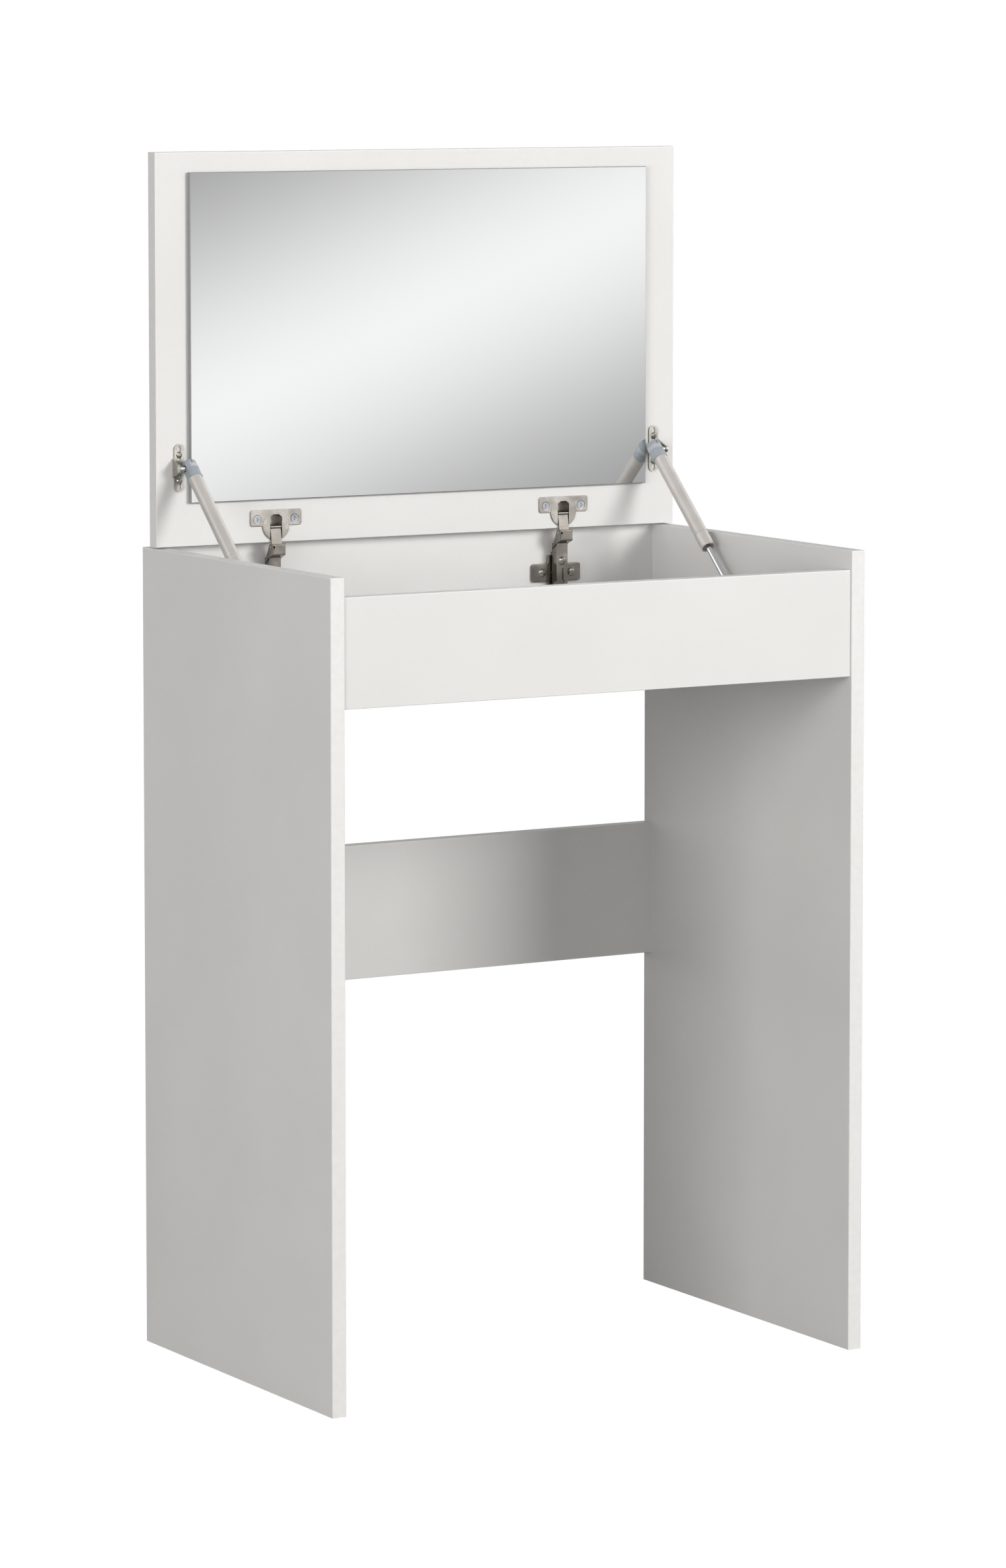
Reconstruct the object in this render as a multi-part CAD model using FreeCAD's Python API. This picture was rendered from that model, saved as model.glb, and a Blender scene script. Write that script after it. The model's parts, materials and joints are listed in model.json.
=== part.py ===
import FreeCAD, Part
import math
import os

# Vanity table: a white board case on two side panels, closed by a lid that carries a mirror.
# Millimetres. X to the right, -Y to the front, +Z up; the origin is on the floor, under the
# middle of the case. The lid is modelled open, standing upright at the back of the case.

Vector = FreeCAD.Vector
AXIS_X = Vector(1, 0, 0)
AXIS_Y = Vector(0, 1, 0)
AXIS_Z = Vector(0, 0, 1)
FRONT = Vector(0, -1, 0)
SIDES = {"left": -1, "right": 1}
TINY = 1e-6

# Case
WIDTH = 600.0
DEPTH = 390.0
CASE_HEIGHT = 800.0
BOARD = 15.0
BAND = 1.0                  # thickness of the edging
BAND_ROUND = 0.8
HALF_WIDTH = WIDTH / 2
INNER_X = HALF_WIDTH - BOARD
REAR_Y = DEPTH / 2
FRONT_Y = -DEPTH / 2
APRON_SETBACK = 2.0
APRON_DROP = 19.0           # finger gap between the apron and the closed lid
APRON_BOTTOM = 675.0
BOX_BOTTOM_RISE = 2.0       # box bottom above the lower edge of the apron
RAIL_BOTTOM = 350.0
RAIL_TOP = 487.0

# Lid, with u measured up the open lid from its hinge edge and v into its board
LID_SPAN = 390.0
LID_GAP = 1.5               # above the case, open or closed
LID_FACE_DEPTH = 31.0       # from the rear of the case to the mirror side of the open lid
LID_FACE_Y = REAR_Y - LID_FACE_DEPTH
LID_EDGE_Z = CASE_HEIGHT + LID_GAP
MIRROR_HALF_WIDTH = 264.0
MIRROR_U = (43.0, 370.0)
MIRROR_GLASS = 4.0
MIRROR_PAD = 1.0
MIRROR_CHAMFER = 0.7
PAD_X = (-220.0, -75.0, 75.0, 220.0)
PAD_WIDTH = 24.0
PAD_MARGIN = 20.0

# Cup hinges
HINGE_X = 167.0
CUP_U = 16.8
CUP_R = 15.2
CUP_DEPTH = 11.5
CUP_BORE_DEPTH = 12.0
CUP_RIM = 1.4
FLANGE_HALF = 29.0
FLANGE_U = (16.2, 32.8)
FLANGE_THICK = 1.2
FLANGE_CORNER = 3.0
FLANGE_SCREW_X = 21.0
FLANGE_SCREW_U = 23.3
POCKET_HALF = 6.7
POCKET_U = (3.6, 27.9)
POCKET_DEPTH = 10.3
POCKET_CHAMFER = (3.4, 2.8)
LID_PIN_U = 15.0
LID_PIN_V = 0.75
LID_PIN_R = 0.9
LID_PIN_HALF = 10.0
ARM_PIN_DROP = 2.8          # below the top of the case
ARM_PIN_R = 1.1
PIN_CLEARANCE = 0.05
LINK_HALF = 5.75
LINK_THICK = 1.6
LINK_NECK = (32.4, 4.2)     # bend of the open link: depth from the rear, rise over the case
LINK_LID_EYE_R = 1.9
LINK_ARM_EYE_R = 2.0
NOSE_FRONT = 38.9
NOSE_TOP = 0.1
NOSE_BOTTOM = -10.8
NOSE_HALF = 7.5
NOSE_ROUND = 1.2
NOSE_HOLE_X = (-6.6, -4.8)  # small square hole in the nose's front, left of its middle
NOSE_HOLE_RISE = (-4.6, -1.9)
NOSE_LIP_REAR = 34.9
NOSE_LIP_BOTTOM = -0.7
ARM_FRONT = 30.0
ARM_REAR = 20.5
ARM_BEND = -14.5
ARM_SLOPE = 6.0
ARM_BOTTOM = -62.0
ARM_HALF = 6.5
ARM_SHEET = 1.3
ADJUSTER_RISE = -32.4
KEYHOLE_RISE = (-54.0, -40.0)
KEYHOLE_R = 2.6
KEYHOLE_SLOT = 3.0
PLATE_THICK = 3.5
PLATE_HALF = 28.7
PLATE_RISE = (-54.6, -36.0)
PLATE_STEM_HALF = 10.0
PLATE_STEM_RISE = (-66.0, -27.0)
PLATE_CORE_HALF = 4.9
PLATE_CORE_RISE = (-64.0, -24.0)
PLATE_SCREW_X = 17.4
PLATE_SCREW_RISE = -45.0
PLATE_ROUND = 0.9
PLATE_CORNER = 2.6

# Screws
PAN_HEAD = (4.5, 3.2)       # radius, height of the dome
SMALL_HEAD = (3.4, 2.2)     # on the lid brackets
SCREW_R = 1.75
SCREW_LENGTH = 12.0
ADJUSTER_R = 2.0
COUNTERSUNK_R = 4.0
COUNTERSINK_R = 4.6
RECESS_WIDTH = 1.0
RECESS_REACH = 0.6          # of the head's radius
RECESS_DEPTH = 1.1

# Lid struts
STRUT_X = 269.5
STRUT_U = 78.2
STRUT_V = -15.0
STRUT_FOOT_DEPTH = 221.0    # from the rear of the case
STRUT_FOOT_RISE = -80.0
BALL_R = 4.0
BALL_CLEARANCE = 0.1
STUD_R = 2.5
STUD_HOLE_R = 3.3
RIVET_R = 3.3
RIVET_H = 0.8
SOCKET_R = 7.75
SOCKET_FLAT = 6.4           # flat side, from the strut's axis
SOCKET_CROWN = 8.0
SOCKET_SKIRT = 14.0
SOCKET_ROUND = 3.2
SPIGOT_END = 20.0
CLIP_SPAN = (-1.8, 3.6)
CLIP_R = 7.95
CLIP_GROOVE_R = 6.9
CLIP_FIT = 0.05
TUBE_R = 7.1
TUBE_BORE_R = 5.8
GLAND_LENGTH = 18.0
GLAND_R = 7.3
GLAND_SEAM = 0.5            # chamfer where the gland meets the tube
GLAND_RECESS = 3.5
GLAND_RECESS_R = 5.9
STRUT_BODY = 139.0          # from the upper ball to the open end of the cylinder
ROD_R = 3.0
ROD_CLEARANCE = 0.05
PISTON_AT = 108.0
PISTON_LENGTH = 6.0
PISTON_CLEARANCE = 0.1
BRACKET_X = 275.3
BRACKET_HALF = 5.25
BRACKET_LENGTH = 47.8
BRACKET_SHEET = 1.5
BRACKET_SCREW_PITCH = 26.0
BRACKET_SLOT = (1.9, 9.0, 5.5)   # half width, reach towards the plate's end and its middle
EAR_BASE = 19.0
EAR_TIP_R = 3.8
FOOT_GAP = 0.3
FOOT_PLATE_HALF = 7.0
FOOT_PLATE_LENGTH = 64.0
FOOT_SCREW_PITCH = 48.0

# Knock-down joints of the case boards
CAM_R = 7.5
CAM_LENGTH = 12.0
CAM_INSET = 24.0            # from the board's end to the cam's axis
CAM_SLOT = 2.6
BOLT_R = 3.0
BOLT_THREAD_R = 2.5
BOLT_THREAD = 11.0
BOLT_BORE_R = 3.5
DOWEL_R = 4.0
DOWEL_LENGTH = 30.0
DOWEL_SIDE = 10.0           # part of the dowel in the side panel


def box(x_span, y_span, z_span):
    size = [span[1] - span[0] for span in (x_span, y_span, z_span)]
    return Part.makeBox(*size, Vector(x_span[0], y_span[0], z_span[0]))


def lid_box(x_span, u_span, v_span):
    return box(x_span, (LID_FACE_Y + v_span[0], LID_FACE_Y + v_span[1]),
               (LID_EDGE_Z + u_span[0], LID_EDGE_Z + u_span[1]))


def lid_point(x, u, v):
    return Vector(x, LID_FACE_Y + v, LID_EDGE_Z + u)


def case_box(x_span, depth_span, rise_span):
    """A box given by its depths from the rear of the case and rises over its top."""
    return box(x_span, (REAR_Y - depth_span[1], REAR_Y - depth_span[0]),
               (CASE_HEIGHT + rise_span[0], CASE_HEIGHT + rise_span[1]))


def case_point(x, depth, rise):
    return Vector(x, REAR_Y - depth, CASE_HEIGHT + rise)


def case_prism(outline, x_span):
    """An outline of (depth, rise) points, made solid across x_span."""
    points = [case_point(x_span[0], depth, rise) for depth, rise in outline]
    face = Part.Face(Part.makePolygon(points + points[:1]))
    return face.extrude(AXIS_X * (x_span[1] - x_span[0]))


def rod(start, direction, radius, length):
    return Part.makeCylinder(radius, length, start, direction)


def mirrored(shape, side):
    return shape if side > 0 else shape.mirror(Vector(0, 0, 0), AXIS_X)


def spread(half, middle=0.0):
    return (middle - half, middle + half)


def fuse(shapes):
    return shapes[0].multiFuse(shapes[1:]).removeSplitter()


def outer_edges(shape, normal, longer_than=0.0):
    """Edges that lie wholly in the face furthest along normal."""
    reach = max(vertex.Point.dot(normal) for vertex in shape.Vertexes)
    return [edge for edge in shape.Edges
            if edge.Length > longer_than
            and all(abs(vertex.Point.dot(normal) - reach) < TINY for vertex in edge.Vertexes)]


def edges_along(shape, direction):
    """Straight edges parallel to direction."""
    return [edge for edge in shape.Edges
            if len(edge.Vertexes) == 2
            and (edge.Vertexes[1].Point - edge.Vertexes[0].Point).cross(direction).Length < TINY]


# Boards and their edging

def band_strip(x_span, y_span, z_span, outward):
    strip = box(x_span, y_span, z_span)
    return strip.makeFillet(BAND_ROUND, outer_edges(strip, outward, BOARD + BAND))


def side_panel(side, bores):
    panel = box((INNER_X, HALF_WIDTH), (FRONT_Y + BAND, REAR_Y - BAND), (0, CASE_HEIGHT - BAND))
    return mirrored(panel, side).cut(bores)


def side_bands(side):
    across = (INNER_X, HALF_WIDTH)
    strips = [
        band_strip(across, (FRONT_Y, FRONT_Y + BAND), (0, CASE_HEIGHT), FRONT),
        band_strip(across, (REAR_Y - BAND, REAR_Y), (0, CASE_HEIGHT), AXIS_Y),
        band_strip(across, (FRONT_Y + BAND, REAR_Y - BAND), (CASE_HEIGHT - BAND, CASE_HEIGHT), AXIS_Z),
    ]
    return [mirrored(strip, side) for strip in strips]


def cross_board(y_span, z_span, bores):
    board = box(spread(INNER_X), y_span, (z_span[0] + BAND, z_span[1] - BAND))
    return board.cut(bores)


def cross_bands(y_span, z_span):
    across = spread(INNER_X)
    return [band_strip(across, y_span, (z_span[0], z_span[0] + BAND), -AXIS_Z),
            band_strip(across, y_span, (z_span[1] - BAND, z_span[1]), AXIS_Z)]


APRON_Y = (FRONT_Y + APRON_SETBACK, FRONT_Y + APRON_SETBACK + BOARD)
APRON_Z = (APRON_BOTTOM, CASE_HEIGHT - APRON_DROP)
BACK_Y = (REAR_Y - BOARD, REAR_Y)
BACK_Z = (APRON_BOTTOM, CASE_HEIGHT)
RAIL_Z = (RAIL_BOTTOM, RAIL_TOP)
FLOOR_Y = (APRON_Y[1], BACK_Y[0])
FLOOR_Z = (APRON_BOTTOM + BOX_BOTTOM_RISE, APRON_BOTTOM + BOX_BOTTOM_RISE + BOARD)


def lid_panel(bores):
    core = lid_box(spread(HALF_WIDTH - BAND), (BAND, LID_SPAN - BAND), (0, BOARD))
    return core.cut(bores)


def lid_bands():
    y_span = (LID_FACE_Y, LID_FACE_Y + BOARD)
    z_span = (LID_EDGE_Z, LID_EDGE_Z + LID_SPAN)
    inner = spread(HALF_WIDTH - BAND)
    right = band_strip((HALF_WIDTH - BAND, HALF_WIDTH), y_span, z_span, AXIS_X)
    return [
        right,
        mirrored(right, -1),
        band_strip(inner, y_span, (z_span[0], z_span[0] + BAND), -AXIS_Z),
        band_strip(inner, y_span, (z_span[1] - BAND, z_span[1]), AXIS_Z),
    ]


def mirror_glass():
    pane = lid_box(spread(MIRROR_HALF_WIDTH), MIRROR_U, (-MIRROR_PAD - MIRROR_GLASS, -MIRROR_PAD))
    return pane.makeChamfer(MIRROR_CHAMFER, outer_edges(pane, FRONT))


def mirror_pads():
    u_span = (MIRROR_U[0] + PAD_MARGIN, MIRROR_U[1] - PAD_MARGIN)
    return [lid_box(spread(PAD_WIDTH / 2, x), u_span, (-MIRROR_PAD, 0)) for x in PAD_X]


# Screws, modelled with the head's underside at the origin and the shank down -Z

def cross_recess(radius, top):
    reach = radius * RECESS_REACH
    bar = box(spread(reach), spread(RECESS_WIDTH / 2), (top - RECESS_DEPTH, top + RECESS_DEPTH))
    return bar.fuse(bar.rotated(Vector(0, 0, 0), AXIS_Z, 90))


def pan_screw(shank_r=SCREW_R, head_size=PAN_HEAD):
    head_r, head_h = head_size
    sphere_r = (head_r ** 2 + head_h ** 2) / (2 * head_h)
    ball = Part.makeSphere(sphere_r, Vector(0, 0, head_h - sphere_r))
    head = ball.common(Part.makeCylinder(head_r, head_h))
    shank = rod(Vector(0, 0, -SCREW_LENGTH), AXIS_Z, shank_r, SCREW_LENGTH)
    return fuse([head, shank]).cut(cross_recess(head_r, head_h))


def countersunk_screw():
    head = Part.makeCone(SCREW_R, COUNTERSUNK_R, FLANGE_THICK)
    shank = rod(Vector(0, 0, -SCREW_LENGTH), AXIS_Z, SCREW_R, SCREW_LENGTH)
    return fuse([head, shank]).cut(cross_recess(COUNTERSUNK_R, FLANGE_THICK))


def placed(shape, point, direction):
    """Turn +Z to direction and move the origin to point."""
    copy = shape.copy()
    copy.Placement = FreeCAD.Placement(point, FreeCAD.Rotation(AXIS_Z, direction))
    return copy


def screw_bore(point, direction, radius=SCREW_R, length=SCREW_LENGTH):
    """The hole for a screw whose head is seated at point and faces direction."""
    return rod(point, -direction, radius, length)


# Cup hinges

def lid_pin_point(x):
    return lid_point(x, LID_PIN_U, LID_PIN_V)


def arm_pin_place():
    """Depth and rise of the arm's pin, as far from the open lid's pin as from the closed one's."""
    closed = (LID_PIN_U, LID_GAP + LID_PIN_V)
    opened = (LID_FACE_DEPTH - LID_PIN_V, LID_GAP + LID_PIN_U)
    middle = [(a + b) / 2 for a, b in zip(closed, opened)]
    across = (opened[1] - closed[1], closed[0] - opened[0])
    rise = -ARM_PIN_DROP
    return (middle[0] + across[0] * (rise - middle[1]) / across[1], rise)


def flange_screw_points(x):
    return [lid_point(x + offset, FLANGE_SCREW_U, 0) for offset in spread(FLANGE_SCREW_X)]


def cup_bore(x):
    return rod(lid_point(x, CUP_U, 0), AXIS_Y, CUP_R, CUP_BORE_DEPTH)


def hinge_flange(x):
    plate = lid_box(spread(FLANGE_HALF, x), FLANGE_U, (-FLANGE_THICK, 0))
    plate = plate.makeFillet(FLANGE_CORNER, edges_along(plate, AXIS_Y))
    return plate.makeFillet(FLANGE_THICK / 2, outer_edges(plate, FRONT))


def cup_pocket(x):
    left, right = spread(POCKET_HALF, x)
    low, high = POCKET_U
    slope_x, slope_u = POCKET_CHAMFER
    outline = [(left, low), (right, low), (right, high - slope_u), (right - slope_x, high),
               (left + slope_x, high), (left, high - slope_u)]
    points = [lid_point(px, pu, -BOARD) for px, pu in outline]
    face = Part.Face(Part.makePolygon(points + points[:1]))
    return face.extrude(AXIS_Y * (BOARD + POCKET_DEPTH))


def hinge_cup(x):
    centre = lid_point(x, CUP_U, -CUP_RIM)
    cup = rod(centre, AXIS_Y, CUP_R, CUP_RIM + CUP_DEPTH)
    cup = cup.makeFillet(CUP_RIM / 2, outer_edges(cup, FRONT))
    shell = fuse([cup, hinge_flange(x)])
    rim_notch = lid_box(spread(POCKET_HALF, x), (0, POCKET_U[0] + CUP_RIM), (-BOARD, 0))
    sinks = [Part.makeCone(SCREW_R, COUNTERSINK_R, FLANGE_THICK, point, FRONT)
             for point in flange_screw_points(x)]
    return shell.cut([cup_pocket(x), rim_notch, hinge_lid_pin(x)] + sinks)


def hinge_lid_pin(x):
    return rod(lid_pin_point(x - LID_PIN_HALF), AXIS_X, LID_PIN_R, 2 * LID_PIN_HALF)


def hinge_arm_pin(x):
    return rod(case_point(x - NOSE_HALF, *arm_pin_place()), AXIS_X, ARM_PIN_R, 2 * NOSE_HALF)


def strip_outline(points, thickness):
    """Outline of a bent strip that follows three (depth, rise) points."""
    sides = ([], [])
    for index, point in enumerate(points):
        before = points[max(index - 1, 0)]
        after = points[min(index + 1, len(points) - 1)]
        along = (after[0] - before[0], after[1] - before[1])
        length = math.hypot(*along)
        offset = (-along[1] / length * thickness / 2, along[0] / length * thickness / 2)
        sides[0].append((point[0] + offset[0], point[1] + offset[1]))
        sides[1].append((point[0] - offset[0], point[1] - offset[1]))
    return sides[0] + sides[1][::-1]


def hinge_link(x):
    """A bent strip with a rolled eye round each pin."""
    across = spread(LINK_HALF, x)
    lid_eye = (LID_FACE_DEPTH - LID_PIN_V, LID_GAP + LID_PIN_U)
    arm_eye = arm_pin_place()
    strip = case_prism(strip_outline([arm_eye, LINK_NECK, lid_eye], LINK_THICK), across)
    eyes = [rod(case_point(across[0], *lid_eye), AXIS_X, LINK_LID_EYE_R, 2 * LINK_HALF),
            rod(case_point(across[0], *arm_eye), AXIS_X, LINK_ARM_EYE_R, 2 * LINK_HALF)]
    holes = [rod(case_point(across[0], *lid_eye), AXIS_X, LID_PIN_R + PIN_CLEARANCE, 2 * LINK_HALF),
             rod(case_point(across[0], *arm_eye), AXIS_X, ARM_PIN_R + PIN_CLEARANCE, 2 * LINK_HALF)]
    return fuse([strip] + eyes).cut(holes)


def arm_outlines():
    """Side outlines of the arm's foot and nose, then of the hollows inside them."""
    pin_depth, pin_rise = arm_pin_place()
    lean = pin_depth - LINK_ARM_EYE_R
    foot = [(ARM_FRONT, ARM_BOTTOM), (ARM_FRONT, ARM_BEND), (ARM_REAR, ARM_BEND),
            (ARM_REAR, ARM_BOTTOM)]
    nose = [(ARM_FRONT, ARM_BEND), (NOSE_FRONT, NOSE_BOTTOM), (NOSE_FRONT, NOSE_TOP),
            (NOSE_LIP_REAR - ARM_SHEET, NOSE_TOP), (lean, NOSE_LIP_BOTTOM),
            (lean - ARM_SHEET, pin_rise), (ARM_REAR + ARM_SHEET, ARM_BEND - ARM_SLOPE)]
    sill = ARM_BEND + ARM_SHEET
    foot_hollow = [(ARM_FRONT - ARM_SHEET, ARM_BOTTOM), (ARM_FRONT - ARM_SHEET, sill),
                   (0, sill), (0, ARM_BOTTOM)]
    nose_hollow = [(ARM_FRONT - ARM_SHEET, sill), (NOSE_FRONT - ARM_SHEET, NOSE_BOTTOM + ARM_SHEET / 2),
                   (NOSE_FRONT - ARM_SHEET, NOSE_LIP_BOTTOM), (NOSE_LIP_REAR, NOSE_LIP_BOTTOM),
                   (NOSE_LIP_REAR, BOARD), (0, BOARD), (0, sill)]
    return foot, nose, foot_hollow, nose_hollow


def hinge_arm(x):
    """A pressed channel: a straight foot on the mounting plate and a nose cranked forwards."""
    foot, nose, foot_hollow, nose_hollow = arm_outlines()
    nose_block = case_prism(nose, spread(NOSE_HALF, x))
    nose_block = nose_block.makeFillet(NOSE_ROUND, outer_edges(nose_block, FRONT))
    body = fuse([case_prism(foot, spread(ARM_HALF, x)), nose_block])
    hollows = [case_prism(foot_hollow, spread(ARM_HALF - ARM_SHEET, x)),
               case_prism(nose_hollow, spread(NOSE_HALF - ARM_SHEET, x))]
    adjuster = screw_bore(case_point(x, ARM_FRONT, ADJUSTER_RISE), FRONT, ADJUSTER_R)
    hole_x = [x + offset for offset in NOSE_HOLE_X]
    hole = case_box(hole_x, (NOSE_FRONT - ARM_SHEET, NOSE_FRONT), NOSE_HOLE_RISE)
    return body.cut(hollows + [adjuster, keyhole(x), hinge_arm_pin(x), hole])


def keyhole(x):
    low, high = KEYHOLE_RISE
    depth_span = (ARM_FRONT - ARM_SHEET, ARM_FRONT)
    slot = case_box(spread(KEYHOLE_SLOT / 2, x), depth_span, (low, high))
    eye = rod(case_point(x, depth_span[0], low), FRONT, KEYHOLE_R, ARM_SHEET)
    return slot.fuse(eye)


def plate_screw_points(x):
    return [case_point(x + offset, BOARD + PLATE_THICK, PLATE_SCREW_RISE)
            for offset in spread(PLATE_SCREW_X)]


def hinge_plate(x):
    depth_span = (BOARD, BOARD + PLATE_THICK)
    wings = case_box(spread(PLATE_HALF, x), depth_span, PLATE_RISE)
    stem = case_box(spread(PLATE_STEM_HALF, x), depth_span, PLATE_STEM_RISE)
    cross = fuse([wings, stem])
    cross = cross.makeFillet(PLATE_CORNER, edges_along(cross, AXIS_Y))
    cross = cross.makeFillet(PLATE_ROUND, outer_edges(cross, FRONT))
    core = case_box(spread(PLATE_CORE_HALF, x), (BOARD, ARM_FRONT - ARM_SHEET), PLATE_CORE_RISE)
    bores = [screw_bore(point, FRONT) for point in plate_screw_points(x)]
    bores.append(screw_bore(case_point(x, ARM_FRONT, ADJUSTER_RISE), FRONT, ADJUSTER_R))
    return fuse([cross, core]).cut(bores)


# Lid struts, modelled with the upper ball at the origin and the strut down +Z

def strut_vector():
    """From the upper ball to the foot ball, with the lid open."""
    return case_point(0, STRUT_FOOT_DEPTH, STRUT_FOOT_RISE) - lid_point(0, STRUT_U, STRUT_V)


def on_strut(shape, side):
    """Place a right-hand strut piece, then mirror it for the left."""
    along = strut_vector()
    turn = math.degrees(math.atan2(-along.y, along.z))
    copy = shape.copy()
    copy.Placement = FreeCAD.Placement(lid_point(STRUT_X, STRUT_U, STRUT_V),
                                       FreeCAD.Rotation(AXIS_X, turn))
    return mirrored(copy, side)


def ball_socket(ball_at, mouth):
    """A moulded end cap: crowned past the ball, skirted towards the mouth side (+1 or -1)."""
    crown_end = ball_at - mouth * SOCKET_CROWN
    skirt_end = ball_at + mouth * SOCKET_SKIRT
    low, high = sorted((crown_end, skirt_end))
    cap = rod(Vector(0, 0, low), AXIS_Z, SOCKET_R, high - low)
    cap = cap.makeFillet(SOCKET_ROUND, outer_edges(cap, AXIS_Z * -mouth))
    flat = box((SOCKET_FLAT, 2 * SOCKET_R), spread(SOCKET_R), (low, high))
    seat = Part.makeSphere(BALL_R + BALL_CLEARANCE, Vector(0, 0, ball_at), AXIS_X)
    stud_way = rod(Vector(0, 0, ball_at), AXIS_X, STUD_HOLE_R, SOCKET_R)
    clip_ends = sorted(ball_at + mouth * reach for reach in CLIP_SPAN)
    groove = clip_ring(clip_ends, 2 * SOCKET_R, CLIP_GROOVE_R)
    relief_ends = sorted((crown_end, ball_at + mouth * CLIP_SPAN[0]))
    relief = box(spread(RECESS_WIDTH / 2), (STUD_R, 2 * SOCKET_R), relief_ends)
    return cap.cut([flat, seat, stud_way, groove, relief])


def clip_ring(z_span, outer_r, inner_r):
    """A ring with its stud side cut away."""
    height = z_span[1] - z_span[0]
    ring = rod(Vector(0, 0, z_span[0]), AXIS_Z, outer_r, height)
    ring = ring.cut(rod(Vector(0, 0, z_span[0]), AXIS_Z, inner_r, height))
    mouth = box((STUD_HOLE_R, 2 * outer_r), spread(outer_r), z_span)
    return ring.cut(mouth)


def socket_clip(ball_at, mouth):
    ends = sorted(ball_at + mouth * reach for reach in CLIP_SPAN)
    return clip_ring((ends[0] + CLIP_FIT, ends[1] - CLIP_FIT), CLIP_R, CLIP_GROOVE_R)


def cylinder_socket():
    spigot = rod(Vector(0, 0, SOCKET_SKIRT), AXIS_Z, TUBE_BORE_R, SPIGOT_END - SOCKET_SKIRT)
    return fuse([ball_socket(0, 1), spigot])


def cylinder_tube():
    length = STRUT_BODY - GLAND_LENGTH - SOCKET_SKIRT
    start = Vector(0, 0, SOCKET_SKIRT)
    return rod(start, AXIS_Z, TUBE_R, length).cut(rod(start, AXIS_Z, TUBE_BORE_R, length))


def cylinder_gland():
    start = Vector(0, 0, STRUT_BODY - GLAND_LENGTH)
    sleeve = rod(start, AXIS_Z, GLAND_R, GLAND_LENGTH)
    sleeve = sleeve.makeFillet(BAND_ROUND / 2, outer_edges(sleeve, AXIS_Z))
    sleeve = sleeve.makeChamfer(GLAND_SEAM, outer_edges(sleeve, -AXIS_Z))
    recess = rod(Vector(0, 0, STRUT_BODY - GLAND_RECESS), AXIS_Z, GLAND_RECESS_R, GLAND_RECESS)
    passage = rod(start, AXIS_Z, ROD_R + ROD_CLEARANCE, GLAND_LENGTH)
    return sleeve.cut([recess, passage])


def foot_ball_at():
    return strut_vector().Length


def strut_rod():
    start = PISTON_AT + PISTON_LENGTH
    end = foot_ball_at() - BALL_R - 2
    return rod(Vector(0, 0, start), AXIS_Z, ROD_R, end - start)


def strut_piston():
    return rod(Vector(0, 0, PISTON_AT), AXIS_Z, TUBE_BORE_R - PISTON_CLEARANCE, PISTON_LENGTH)


def rod_socket():
    return ball_socket(foot_ball_at(), -1).cut(strut_rod())


def foot_stud():
    """Ball stud of the foot; its end stops just short of the plate on the side panel."""
    centre = Vector(0, 0, foot_ball_at())
    reach = INNER_X - BRACKET_SHEET - FOOT_GAP - STRUT_X
    return fuse([Part.makeSphere(BALL_R, centre, AXIS_X), rod(centre, AXIS_X, STUD_R, reach)])


def upper_stud(side):
    centre = lid_point(STRUT_X, STRUT_U, STRUT_V)
    ear_outside = BRACKET_X + BRACKET_HALF + BRACKET_SHEET
    shank = rod(centre, AXIS_X, STUD_R, ear_outside - STRUT_X)
    head = rod(lid_point(ear_outside, STRUT_U, STRUT_V), AXIS_X, RIVET_R, RIVET_H)
    return mirrored(fuse([Part.makeSphere(BALL_R, centre, AXIS_X), shank, head]), side)


def obround(length, half, sheet):
    """A round-ended plate in the XY plane, long in Y, from z = 0 up to sheet."""
    straight = length / 2 - half
    return fuse([box(spread(half), spread(straight), (0, sheet)),
                 Part.makeCylinder(half, sheet, Vector(0, straight, 0)),
                 Part.makeCylinder(half, sheet, Vector(0, -straight, 0))])


def bracket_slots():
    half, outwards, inwards = BRACKET_SLOT
    slots = []
    for end in (-1, 1):
        screw_at = BRACKET_SCREW_PITCH / 2
        near = end * (screw_at - inwards + half)
        far = end * (screw_at + outwards - half)
        span = sorted((near, far))
        bar = box(spread(half), span, (0, BRACKET_SHEET))
        slots += [bar, Part.makeCylinder(half, BRACKET_SHEET, Vector(0, near, 0)),
                  Part.makeCylinder(half, BRACKET_SHEET, Vector(0, far, 0))]
    return slots


def lid_bracket(side):
    plate = obround(BRACKET_LENGTH, BRACKET_HALF, BRACKET_SHEET).cut(bracket_slots())
    plate.rotate(Vector(0, 0, 0), AXIS_X, 90)
    plate.translate(lid_point(BRACKET_X, STRUT_U, 0))
    ear_x = BRACKET_X + BRACKET_HALF
    base = spread(EAR_BASE / 2, STRUT_U)
    tip = rod(lid_point(ear_x, STRUT_U, STRUT_V), AXIS_X, EAR_TIP_R, BRACKET_SHEET)
    outline = [(base[0], 0), (base[1], 0), (STRUT_U + EAR_TIP_R, STRUT_V), (STRUT_U - EAR_TIP_R, STRUT_V)]
    points = [lid_point(ear_x, u, v) for u, v in outline]
    web = Part.Face(Part.makePolygon(points + points[:1])).extrude(AXIS_X * BRACKET_SHEET)
    bend = lid_box((ear_x - BRACKET_SHEET, ear_x + BRACKET_SHEET), base, (-BRACKET_SHEET, 0))
    hole = rod(lid_point(ear_x, STRUT_U, STRUT_V), AXIS_X, STUD_R, BRACKET_SHEET)
    return mirrored(fuse([plate, web, tip, bend]).cut(hole), side)


def bracket_screw_points(side):
    return [lid_point(side * BRACKET_X, STRUT_U + offset, -BRACKET_SHEET)
            for offset in spread(BRACKET_SCREW_PITCH / 2)]


def foot_point(x, offset=0.0):
    return case_point(x, STRUT_FOOT_DEPTH, STRUT_FOOT_RISE) + AXIS_Y * offset


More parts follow.
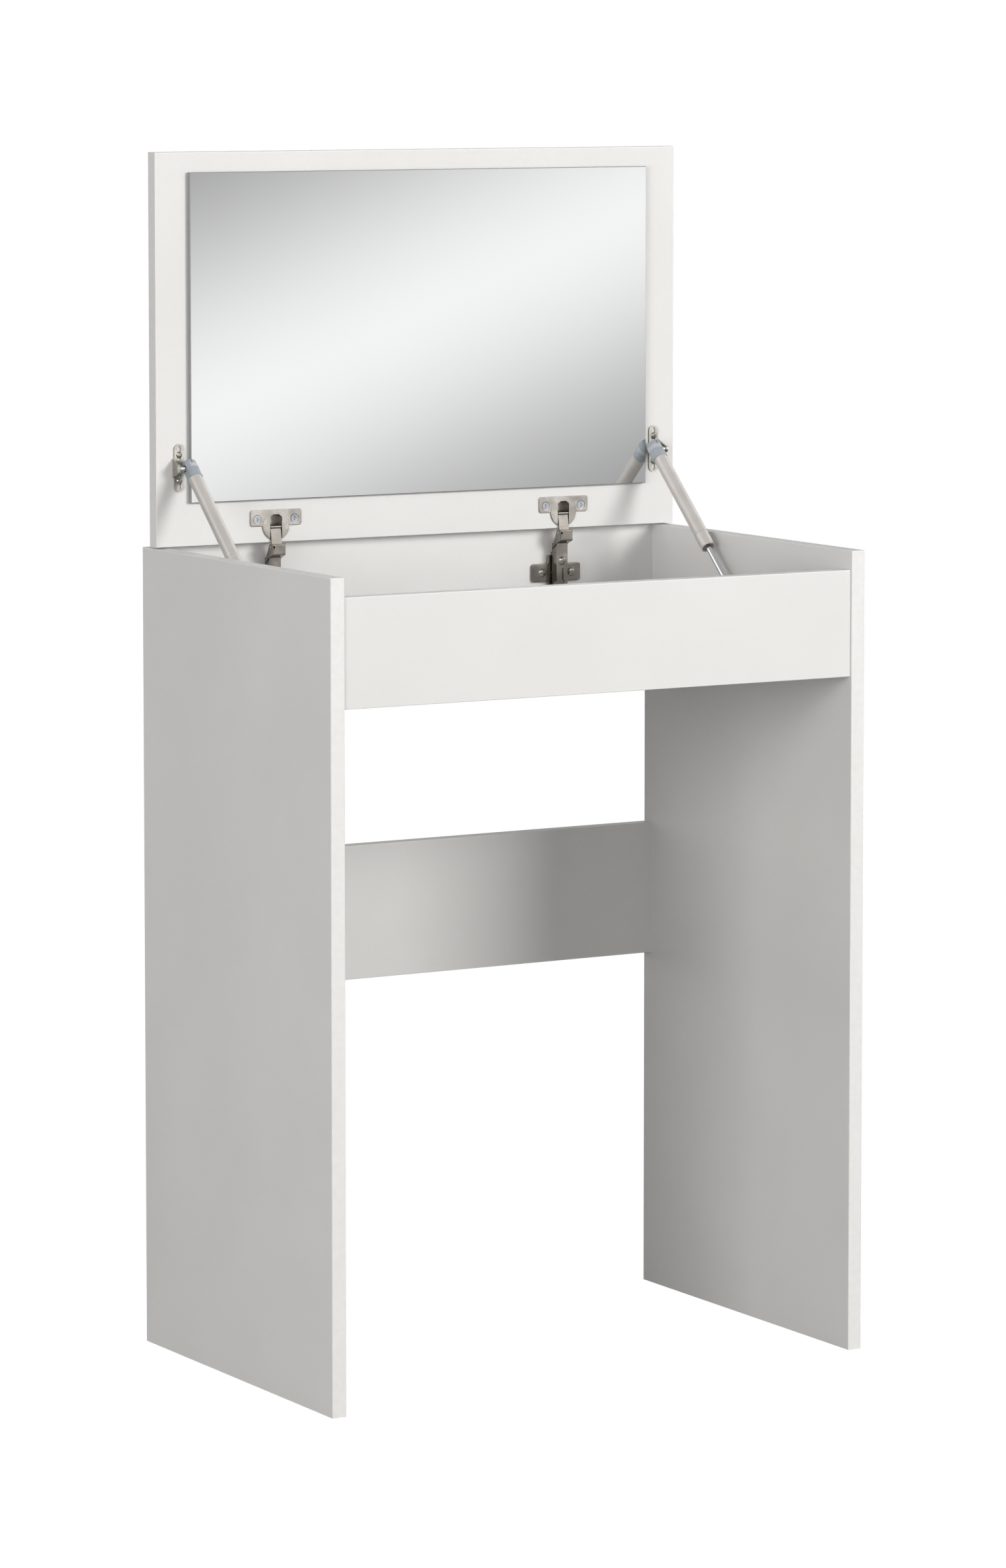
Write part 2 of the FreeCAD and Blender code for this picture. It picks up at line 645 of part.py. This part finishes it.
def foot_plate(side):
    plate = obround(FOOT_PLATE_LENGTH, FOOT_PLATE_HALF, BRACKET_SHEET)
    plate.rotate(Vector(0, 0, 0), AXIS_Y, 90)
    plate.translate(foot_point(INNER_X - BRACKET_SHEET))
    bores = [screw_bore(point, -AXIS_X) for point in foot_screw_points(1)]
    return mirrored(plate.cut(bores), side)


def foot_screw_points(side):
    x = side * (INNER_X - BRACKET_SHEET)
    return [foot_point(x, offset) for offset in spread(FOOT_SCREW_PITCH / 2)]


# Cams, their bolts and dowels at the ends of each cross board

def knock_down_joints():
    """For each joint: where its axis meets the side panel's face, and the cam's outward side."""
    cams = []
    dowels = []
    middle_y = {"apron": sum(APRON_Y) / 2, "back": sum(BACK_Y) / 2}
    for name, z_span, outward in (("apron", APRON_Z, AXIS_Y), ("back", BACK_Z, AXIS_Y),
                                  ("back", RAIL_Z, AXIS_Y)):
        third = (z_span[1] - z_span[0]) / 3
        cams.append((middle_y[name], z_span[0] + third, outward))
        dowels.append((middle_y[name], z_span[1] - third))
    middle_z = sum(FLOOR_Z) / 2
    quarter = (FLOOR_Y[1] - FLOOR_Y[0]) / 4
    cams.append((FLOOR_Y[0] + quarter, middle_z, -AXIS_Z))
    cams.append((FLOOR_Y[1] - quarter, middle_z, -AXIS_Z))
    dowels.append((FLOOR_Y[0] + 2 * quarter, middle_z))
    return cams, dowels


def cam_bore(y, z, outward, side):
    start = Vector(side * (INNER_X - CAM_INSET), y, z) + outward * (BOARD / 2)
    return rod(start, -outward, CAM_R, CAM_LENGTH)


def cam_lock(y, z, outward, side):
    tool_at = Vector(side * (INNER_X - CAM_INSET), y, z) + outward * (BOARD / 2)
    tool = placed(cross_recess(CAM_R, 0), tool_at, outward)
    return cam_bore(y, z, outward, side).cut([tool, bolt_way(y, z, side)])


def bolt_way(y, z, side):
    """The hole along a cross board for the bolt."""
    reach = CAM_INSET + CAM_SLOT
    return rod(Vector(side * INNER_X, y, z), AXIS_X * -side, BOLT_BORE_R, reach)


def cam_bolt(y, z, side):
    face = Vector(side * INNER_X, y, z)
    thread = rod(face, AXIS_X * side, BOLT_THREAD_R, BOLT_THREAD)
    shank = rod(face, AXIS_X * -side, BOLT_R, CAM_INSET)
    return fuse([thread, shank])


def dowel(y, z, side):
    start = Vector(side * (INNER_X + DOWEL_SIDE), y, z)
    return rod(start, AXIS_X * -side, DOWEL_R, DOWEL_LENGTH)


def write(name, shapes):
    """Write one node; several shapes stay separate solids."""
    shape = shapes if isinstance(shapes, Part.Shape) else Part.makeCompound(shapes)
    for solid in shape.Solids:
        if not solid.isValid():
            raise ValueError("invalid solid in " + name)
    shape.exportStep("parts/" + name + ".step")
    print(name, len(shape.Solids), round(shape.Volume))


def write_case():
    cam_rows, dowel_rows = knock_down_joints()
    ends = list(SIDES.values())
    cams = [cam_lock(*row, side) for row in cam_rows for side in ends]
    bolts = [cam_bolt(y, z, side) for y, z, _ in cam_rows for side in ends]
    dowels = [dowel(*row, side) for row in dowel_rows for side in ends]
    board_bores = [cam_bore(*row, side) for row in cam_rows for side in ends]
    board_bores += [bolt_way(y, z, side) for y, z, _ in cam_rows for side in ends] + dowels
    feet = {side: [screw_bore(p, -AXIS_X * side) for p in foot_screw_points(side)] for side in ends}
    hinge_bores = [screw_bore(p, FRONT) for x in spread(HINGE_X) for p in plate_screw_points(x)]
    for name, side in SIDES.items():
        write("side_panel_" + name, side_panel(side, bolts + dowels + feet[side]))
        write("side_panel_edging_" + name, side_bands(side))
    write("apron", cross_board(APRON_Y, APRON_Z, board_bores))
    write("apron_edging", cross_bands(APRON_Y, APRON_Z))
    write("back_board", cross_board(BACK_Y, BACK_Z, board_bores + hinge_bores))
    write("back_board_edging", cross_bands(BACK_Y, BACK_Z))
    write("rear_rail", cross_board(BACK_Y, RAIL_Z, board_bores))
    write("rear_rail_edging", cross_bands(BACK_Y, RAIL_Z))
    write("box_bottom", box(spread(INNER_X), FLOOR_Y, FLOOR_Z).cut(board_bores))
    write("cam_locks", cams)
    write("cam_bolts", bolts)
    write("dowels", dowels)


def write_lid():
    hinge_xs = spread(HINGE_X)
    cup_screws = [p for x in hinge_xs for p in flange_screw_points(x)]
    bracket_screws = [p for side in SIDES.values() for p in bracket_screw_points(side)]
    bores = [cup_bore(x) for x in hinge_xs]
    bores += [screw_bore(p, FRONT) for p in cup_screws + bracket_screws]
    write("lid_panel", lid_panel(bores))
    write("lid_edging", lid_bands())
    write("mirror_glass", mirror_glass())
    write("mirror_pads", mirror_pads())
    write("hinge_cup_screws", [placed(countersunk_screw(), p, FRONT) for p in cup_screws])
    write("strut_bracket_screws",
          [placed(pan_screw(head_size=SMALL_HEAD), p, FRONT) for p in bracket_screws])


def write_hinge(name, x):
    write("hinge_cup_" + name, hinge_cup(x))
    write("hinge_lid_pin_" + name, hinge_lid_pin(x))
    write("hinge_link_" + name, hinge_link(x))
    write("hinge_arm_pin_" + name, hinge_arm_pin(x))
    write("hinge_arm_" + name, hinge_arm(x))
    write("hinge_plate_" + name, hinge_plate(x))


def write_hinge_screws():
    hinge_xs = spread(HINGE_X)
    plate_points = [p for x in hinge_xs for p in plate_screw_points(x)]
    adjusters = [case_point(x, ARM_FRONT, ADJUSTER_RISE) for x in hinge_xs]
    write("hinge_plate_screws", [placed(pan_screw(), p, FRONT) for p in plate_points])
    write("hinge_adjusting_screws", [placed(pan_screw(ADJUSTER_R), p, FRONT) for p in adjusters])


def write_strut(name, side):
    foot = foot_ball_at()
    write("strut_lid_bracket_" + name, lid_bracket(side))
    write("strut_upper_stud_" + name, upper_stud(side))
    write("strut_cylinder_socket_" + name, on_strut(cylinder_socket(), side))
    write("strut_cylinder_clip_" + name, on_strut(socket_clip(0, 1), side))
    write("strut_cylinder_" + name, on_strut(cylinder_tube(), side))
    write("strut_gland_" + name, on_strut(cylinder_gland(), side))
    write("strut_piston_" + name, on_strut(strut_piston(), side))
    write("strut_rod_" + name, on_strut(strut_rod(), side))
    write("strut_rod_socket_" + name, on_strut(rod_socket(), side))
    write("strut_rod_clip_" + name, on_strut(socket_clip(foot, -1), side))
    write("strut_foot_stud_" + name, on_strut(foot_stud(), side))
    write("strut_foot_plate_" + name, foot_plate(side))


os.makedirs("parts", exist_ok=True)
write_case()
write_lid()
write_hinge_screws()
for side_name, side_sign in SIDES.items():
    write_hinge(side_name, side_sign * HINGE_X)
    write_strut(side_name, side_sign)
foot_screws = [placed(pan_screw(), p, AXIS_X * -side)
               for side in SIDES.values() for p in foot_screw_points(side)]
write("strut_foot_screws", foot_screws)
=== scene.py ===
import json
import math

import bpy
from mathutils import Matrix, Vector

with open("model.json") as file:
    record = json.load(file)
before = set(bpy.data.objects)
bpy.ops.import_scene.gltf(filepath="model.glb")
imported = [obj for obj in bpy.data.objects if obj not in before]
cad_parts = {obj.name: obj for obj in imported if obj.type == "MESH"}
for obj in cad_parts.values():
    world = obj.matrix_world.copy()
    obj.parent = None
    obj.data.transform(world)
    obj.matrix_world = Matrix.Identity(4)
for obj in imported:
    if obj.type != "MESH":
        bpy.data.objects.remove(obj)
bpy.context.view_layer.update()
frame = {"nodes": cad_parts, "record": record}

NODES = frame["nodes"]
SLOT_OF = {part["node"]: part["material_slot"] for part in frame["record"]["subparts"]}

# Camera: places in metres, angles in degrees, lens and film in millimetres
CAMERA_AT = (-2.9565, -5.0755, 1.3154)
CAMERA_YAW = 30.225
CAMERA_PITCH = 5.017
CAMERA_LENS = 136.79
CAMERA_SHIFT_Y = -0.15
CAMERA_FILM = 36.0
CAMERA_FAR = 100.0

# Light: two soft boxes, a sky, and a card that only reflections see. Levels are (place, brightness)
KEY_FROM = (2.8, -4.9, 2.5)
KEY_SIZE = (2.0, 2.0)
KEY_POWER = 250.0
FILL_FROM = (-4.6, -2.6, 1.5)
FILL_SIZE = (2.2, 2.2)
FILL_POWER = 133.0
LIGHT_AIM = (0.0, 0.0, 0.6)
LIGHT_TONE = (1.0, 0.99, 0.975)
SKY_TONE = (1.0, 0.99, 0.975)
SKY_LEVELS = ((0.0, 1.15), (1.0, 0.05), (0.35, 0.50))
SKY_ZONES = ((0.0, 0.22), (0.28, 0.34), (0.5, 2.2), (0.8, 0.5))
PLAIN_WHITE = ((0.0, 1.0), (1.0, 1.0))
FLOOR_TONE = ((0.22, 0.218, 0.212), (0.25, 0.248, 0.242))
FLOOR_SIZE = 60.0
FLOOR_GAP = 0.0005
CARD_AT = (0.908, -1.5, 0.925)
CARD_REACH = 6.0
CARD_Z = (-0.2, 1.8)
BAND_NORMAL = (-0.3616, 0.0, 0.932)
BAND_REACH = 0.395
BAND_LEVELS = ((0.0, 0.99), (1.0, 0.33), (0.15, 0.95), (0.35, 0.79), (0.55, 0.60), (0.75, 0.45))


# Noise runs mostly between these values
BLOTCH = (0.3, 0.7)
# Y of a face's world normal: fully mirror at the first value, fully plain glass at the second
MIRROR_FACING = (-0.95, -0.8)
WHITE = (1, 1, 1)


# Node helpers

class Shader:
    """A short way to write a node tree: nodes by type, links by value."""

    def __init__(self, name):
        self.material = bpy.data.materials.new(name)
        self.material.use_nodes = True
        self.tree = self.material.node_tree
        self.tree.nodes.clear()
        self.output = self.tree.nodes.new("ShaderNodeOutputMaterial")
        self.bsdf = self.tree.nodes.new("ShaderNodeBsdfPrincipled")
        self.tree.links.new(self.bsdf.outputs[0], self.output.inputs["Surface"])
        self.coords = self.tree.nodes.new("ShaderNodeTexCoord").outputs["Object"]

    def node(self, kind, inputs=(), **settings):
        made = self.tree.nodes.new(kind)
        for key, value in settings.items():
            setattr(made, key, value)
        for key, value in dict(inputs).items():
            self.feed(made.inputs[key], value)
        return made

    def feed(self, socket, value):
        if isinstance(value, bpy.types.NodeSocket):
            self.tree.links.new(value, socket)
        else:
            socket.default_value = value

    def set(self, **values):
        for key, value in values.items():
            self.feed(self.bsdf.inputs[key.replace("_", " ")], value)

    def stretched(self, scale):
        return self.node("ShaderNodeMapping", {"Vector": self.coords, "Scale": scale}).outputs[0]

    def noise(self, scale, detail=2.0, roughness=0.5, vector=None):
        source = self.coords if vector is None else vector
        made = self.node("ShaderNodeTexNoise",
                         {"Vector": source, "Scale": scale, "Detail": detail, "Roughness": roughness})
        return made.outputs["Fac"]

    def cells(self, scale, smoothness=0.6):
        made = self.node("ShaderNodeTexVoronoi",
                         {"Vector": self.coords, "Scale": scale, "Smoothness": smoothness},
                         feature="SMOOTH_F1")
        return made.outputs["Distance"]

    def spread(self, value, low, high, start=0.0, end=1.0):
        made = self.node("ShaderNodeMapRange", {"Value": value, "From Min": start, "From Max": end,
                                                "To Min": low, "To Max": high})
        return made.outputs["Result"]

    def tint(self, value, first, second, start=0.0, end=1.0):
        ramp = self.node("ShaderNodeValToRGB", {"Fac": value})
        ramp.color_ramp.elements[0].position = start
        ramp.color_ramp.elements[0].color = (*first, 1)
        ramp.color_ramp.elements[1].position = end
        ramp.color_ramp.elements[1].color = (*second, 1)
        return ramp.outputs["Color"]

    def relief(self, height, depth, strength=1.0, below=None):
        inputs = {"Height": height, "Distance": depth, "Strength": strength}
        if below is not None:
            inputs["Normal"] = below
        return self.node("ShaderNodeBump", inputs).outputs["Normal"]


# Materials

def white_laminate():
    """Melamine board with a fine pebbled press finish."""
    shader = Shader("white_laminate")
    pebble = shader.cells(950.0)
    drift = shader.noise(320.0, detail=3.0)
    cloud = shader.noise(7.0, detail=2.0)
    colour = shader.tint(cloud, (0.625, 0.622, 0.614), (0.65, 0.647, 0.64), *BLOTCH)
    shader.set(Base_Color=colour, Roughness=shader.spread(drift, 0.42, 0.56, *BLOTCH))
    shader.bsdf.inputs["Specular IOR Level"].default_value = 0.45
    low = shader.relief(drift, 0.00006)
    shader.set(Normal=shader.relief(pebble, 0.00009, 0.8, low))
    return shader.material


def white_edging():
    shader = Shader("white_edging")
    streak = shader.noise(160.0, detail=3.0)
    colour = shader.tint(streak, (0.67, 0.667, 0.66), (0.70, 0.697, 0.69), *BLOTCH)
    shader.set(Base_Color=colour, Roughness=shader.spread(streak, 0.34, 0.44, *BLOTCH))
    shader.set(Normal=shader.relief(shader.noise(700.0), 0.00003))
    return shader.material


def mirror_silver():
    """Silvered glass: a mirror on faces that look towards -Y in the world, grey glass elsewhere."""
    shader = Shader("mirror_silver")
    facing = shader.node("ShaderNodeSeparateXYZ",
                         {"Vector": shader.node("ShaderNodeNewGeometry").outputs["Normal"]}).outputs["Y"]
    front = shader.spread(facing, 1.0, 0.0, *MIRROR_FACING)
    haze = shader.noise(3.0, detail=2.0)
    edge = shader.tint(haze, (0.23, 0.24, 0.24), (0.29, 0.30, 0.30), *BLOTCH)
    silver = shader.tint(haze, (0.90, 0.905, 0.905), (0.92, 0.925, 0.925), *BLOTCH)
    colour = shader.node("ShaderNodeMix", {"Factor": front, 6: edge, 7: silver}, data_type="RGBA")
    shader.set(Base_Color=colour.outputs[2], Metallic=front)
    shader.set(Roughness=shader.spread(front, 0.12, 0.015))
    return shader.material


def pressed_metal(name, dark, light, rough):
    """Plated pressed steel: faintly cloudy plating over a slightly uneven sheet."""
    shader = Shader(name)
    cloud = shader.noise(45.0, detail=2.0)
    skin = shader.noise(900.0, detail=1.0)
    wave = shader.noise(90.0, detail=1.0)
    shader.set(Base_Color=shader.tint(cloud, dark, light, *BLOTCH), Metallic=1.0)
    shader.set(Roughness=shader.spread(wave, rough - 0.04, rough + 0.06, *BLOTCH))
    shader.set(Normal=shader.relief(skin, 0.000003, 0.5, shader.relief(wave, 0.0001, 0.6)))
    return shader.material


def lacquer(name, dark, light):
    shader = Shader(name)
    skin = shader.noise(900.0, detail=2.0)
    cloud = shader.noise(60.0, detail=2.0)
    shader.set(Base_Color=shader.tint(cloud, dark, light, *BLOTCH), Metallic=0.35)
    shader.set(Roughness=shader.spread(skin, 0.34, 0.44, *BLOTCH))
    shader.set(Normal=shader.relief(skin, 0.00002, 0.7))
    return shader.material


def moulded(name, dark, light, rough=0.45):
    """Moulded nylon with a fine eroded skin."""
    shader = Shader(name)
    skin = shader.noise(1500.0, detail=2.0)
    cloud = shader.noise(80.0, detail=2.0)
    shader.set(Base_Color=shader.tint(cloud, dark, light, *BLOTCH))
    shader.set(Roughness=shader.spread(skin, rough - 0.05, rough + 0.07, *BLOTCH))
    shader.set(Normal=shader.relief(skin, 0.00003, 0.7))
    return shader.material


def beech():
    shader = Shader("dowel_beech")
    grain = shader.noise(2.5, detail=5.0, vector=shader.stretched((40.0, 600.0, 600.0)))
    shader.set(Base_Color=shader.tint(grain, (0.42, 0.27, 0.14), (0.62, 0.44, 0.26), 0.35, 0.65))
    shader.set(Roughness=0.65, Normal=shader.relief(grain, 0.0001, 0.5))
    return shader.material


FINISHES = {
    "white_laminate": white_laminate(),
    "white_edging": white_edging(),
    "mirror_silver": mirror_silver(),
    "mounting_foam": moulded("mounting_foam", (0.6, 0.6, 0.58), (0.7, 0.7, 0.68), 0.8),
    "hinge_nickel": pressed_metal("hinge_nickel", (0.43, 0.41, 0.375), (0.50, 0.48, 0.44), 0.24),
    "bracket_nickel": pressed_metal("bracket_nickel", (0.43, 0.41, 0.37), (0.50, 0.48, 0.43), 0.28),
    "screw_steel": pressed_metal("screw_steel", (0.44, 0.42, 0.39), (0.53, 0.51, 0.48), 0.16),
    "pin_steel": pressed_metal("pin_steel", (0.68, 0.68, 0.67), (0.78, 0.78, 0.77), 0.14),
    "rod_chrome": pressed_metal("rod_chrome", (0.66, 0.67, 0.68), (0.76, 0.77, 0.78), 0.16),
    "cam_zinc": pressed_metal("cam_zinc", (0.50, 0.51, 0.52), (0.60, 0.61, 0.62), 0.42),
    "strut_lacquer": lacquer("strut_lacquer", (0.52, 0.495, 0.47), (0.57, 0.545, 0.52)),
    "socket_plastic": moulded("socket_plastic", (0.27, 0.30, 0.33), (0.32, 0.35, 0.385)),
    "clip_plastic": moulded("clip_plastic", (0.37, 0.40, 0.43), (0.43, 0.46, 0.49)),
    "dowel_beech": beech(),
}
# A darker copy of the hinge nickel for the arms, links and mounting plates: painted shade, with a
# painted dark reflection of the table's inside, not a different plating.
PAINTED_SHADE_NICKEL = pressed_metal("painted_shade_nickel", (0.27, 0.25, 0.225), (0.34, 0.315, 0.285), 0.22)
BRIGHT_ZINC = pressed_metal("bright_zinc", (0.42, 0.45, 0.49), (0.54, 0.57, 0.61), 0.24)
# Per-part materials: painted-shade nickel on the hinge arms, links and plates; the cup screws get their
# own bluish zinc.
PAINTED_SHADE_AND_ZINC_MATERIALS = {
    "hinge_arm_left": PAINTED_SHADE_NICKEL,
    "hinge_arm_right": PAINTED_SHADE_NICKEL,
    "hinge_link_left": PAINTED_SHADE_NICKEL,
    "hinge_link_right": PAINTED_SHADE_NICKEL,
    "hinge_plate_left": PAINTED_SHADE_NICKEL,
    "hinge_plate_right": PAINTED_SHADE_NICKEL,
    "hinge_cup_screws": BRIGHT_ZINC,
}


def finish_cad_nodes():
    for name, node in NODES.items():
        node.data.materials.clear()
        node.data.materials.append(PAINTED_SHADE_AND_ZINC_MATERIALS.get(name, FINISHES[SLOT_OF[name]]))


# Stage, light and camera

def aimed(direction):
    return Vector(direction).to_track_quat("-Z", "Y")


def fill_ramp(stops, levels, tone):
    """Set a ramp's stops from (place, brightness) pairs; a new ramp already has two."""
    for index, (place, level) in enumerate(levels):
        stop = stops[index] if index < 2 else stops.new(place)
        stop.position = place
        stop.color = (*[level * part for part in tone], 1)


def soft_light(name, place, size, power):
    """A rectangular lamp that points at LIGHT_AIM."""
    data = bpy.data.lights.new(name, "AREA")
    data.shape = "RECTANGLE"
    data.size, data.size_y = size
    data.energy = power
    data.color = LIGHT_TONE
    lamp = bpy.data.objects.new(name, data)
    lamp.location = place
    lamp.rotation_mode = "QUATERNION"
    lamp.rotation_quaternion = aimed(Vector(LIGHT_AIM) - Vector(place))
    bpy.context.scene.collection.objects.link(lamp)


def studio_floor():
    """A pale sweep: pure white to the camera, a softer bounce for the object."""
    shader = Shader("studio_floor")
    grain = shader.noise(40.0, detail=2.0)
    shader.set(Base_Color=shader.tint(grain, FLOOR_TONE[0], FLOOR_TONE[1], *BLOTCH), Roughness=0.7)
    white = shader.node("ShaderNodeEmission", {"Color": (1, 1, 1, 1), "Strength": 1.0})
    seen = shader.node("ShaderNodeLightPath").outputs["Is Camera Ray"]
    mix = shader.node("ShaderNodeMixShader", {0: seen, 1: shader.bsdf.outputs[0], 2: white.outputs[0]})
    shader.tree.links.new(mix.outputs[0], shader.output.inputs["Surface"])
    bpy.ops.mesh.primitive_plane_add(size=FLOOR_SIZE, location=(0, 0, -FLOOR_GAP))
    floor = bpy.context.object
    floor.name = "studio_floor"
    floor.data.materials.append(shader.material)


def gradient_card():
    """A glowing card in front of the table that only reflections see: a slanted bright band."""
    shader = Shader("gradient_card")
    across = shader.node("ShaderNodeVectorMath", {0: shader.coords, 1: BAND_NORMAL},
                         operation="DOT_PRODUCT")
    offset = shader.node("ShaderNodeMath", {0: across.outputs["Value"]}, operation="ABSOLUTE").outputs[0]
    ramp = shader.node("ShaderNodeValToRGB", {"Fac": shader.spread(offset, 0.0, 1.0, 0.0, BAND_REACH)})
    ramp.color_ramp.interpolation = "B_SPLINE"
    fill_ramp(ramp.color_ramp.elements, BAND_LEVELS, WHITE)
    glow = shader.node("ShaderNodeEmission", {"Color": ramp.outputs["Color"], "Strength": 1.0})
    shader.tree.links.new(glow.outputs[0], shader.output.inputs["Surface"])
    low, high = CARD_Z
    corners = [(-CARD_REACH, low), (CARD_REACH, low), (CARD_REACH, high), (-CARD_REACH, high)]
    mesh = bpy.data.meshes.new("gradient_card")
    mesh.from_pydata([(x, 0, z - CARD_AT[2]) for x, z in corners], [], [(0, 1, 2, 3)])
    mesh.materials.append(shader.material)
    card = bpy.data.objects.new("gradient_card", mesh)
    card.location = CARD_AT
    for kind in ("camera", "diffuse", "shadow", "transmission", "volume_scatter"):
        setattr(card, "visible_" + kind, False)
    bpy.context.scene.collection.objects.link(card)


def studio_world():
    """White to the camera; brightest near the horizon for light; zones for reflections."""
    world = bpy.data.worlds.new("studio_world")
    bpy.context.scene.world = world
    world.use_nodes = True
    tree = world.node_tree
    tree.nodes.clear()
    output = tree.nodes.new("ShaderNodeOutputWorld")
    coords = tree.nodes.new("ShaderNodeTexCoord")
    split = tree.nodes.new("ShaderNodeSeparateXYZ")
    tree.links.new(coords.outputs["Generated"], split.inputs[0])
    path = tree.nodes.new("ShaderNodeLightPath")
    layers = []
    for levels, tone in ((SKY_LEVELS, SKY_TONE), (SKY_ZONES, WHITE), (PLAIN_WHITE, WHITE)):
        layer = tree.nodes.new("ShaderNodeBackground")
        zones = tree.nodes.new("ShaderNodeValToRGB")
        zones.color_ramp.interpolation = "EASE"
        fill_ramp(zones.color_ramp.elements, levels, tone)
        tree.links.new(split.outputs["Z"], zones.inputs["Fac"])
        tree.links.new(zones.outputs["Color"], layer.inputs["Color"])
        layers.append(layer.outputs[0])
    shown = layers[0]
    for ray, layer in (("Is Glossy Ray", layers[1]), ("Is Camera Ray", layers[2])):
        mix = tree.nodes.new("ShaderNodeMixShader")
        tree.links.new(path.outputs[ray], mix.inputs[0])
        tree.links.new(shown, mix.inputs[1])
        tree.links.new(layer, mix.inputs[2])
        shown = mix.outputs[0]
    tree.links.new(shown, output.inputs[0])


def studio_camera():
    data = bpy.data.cameras.new("camera")
    data.lens = CAMERA_LENS
    data.sensor_width = CAMERA_FILM
    data.shift_y = CAMERA_SHIFT_Y
    data.clip_end = CAMERA_FAR
    camera = bpy.data.objects.new("camera", data)
    camera.location = CAMERA_AT
    camera.rotation_euler = (math.radians(90 - CAMERA_PITCH), 0, math.radians(-CAMERA_YAW))
    bpy.context.scene.collection.objects.link(camera)
    bpy.context.scene.camera = camera


finish_cad_nodes()
studio_floor()
studio_world()
gradient_card()
soft_light("key_softbox", KEY_FROM, KEY_SIZE, KEY_POWER)
soft_light("fill_softbox", FILL_FROM, FILL_SIZE, FILL_POWER)
studio_camera()
bpy.context.scene.view_settings.view_transform = "Standard"
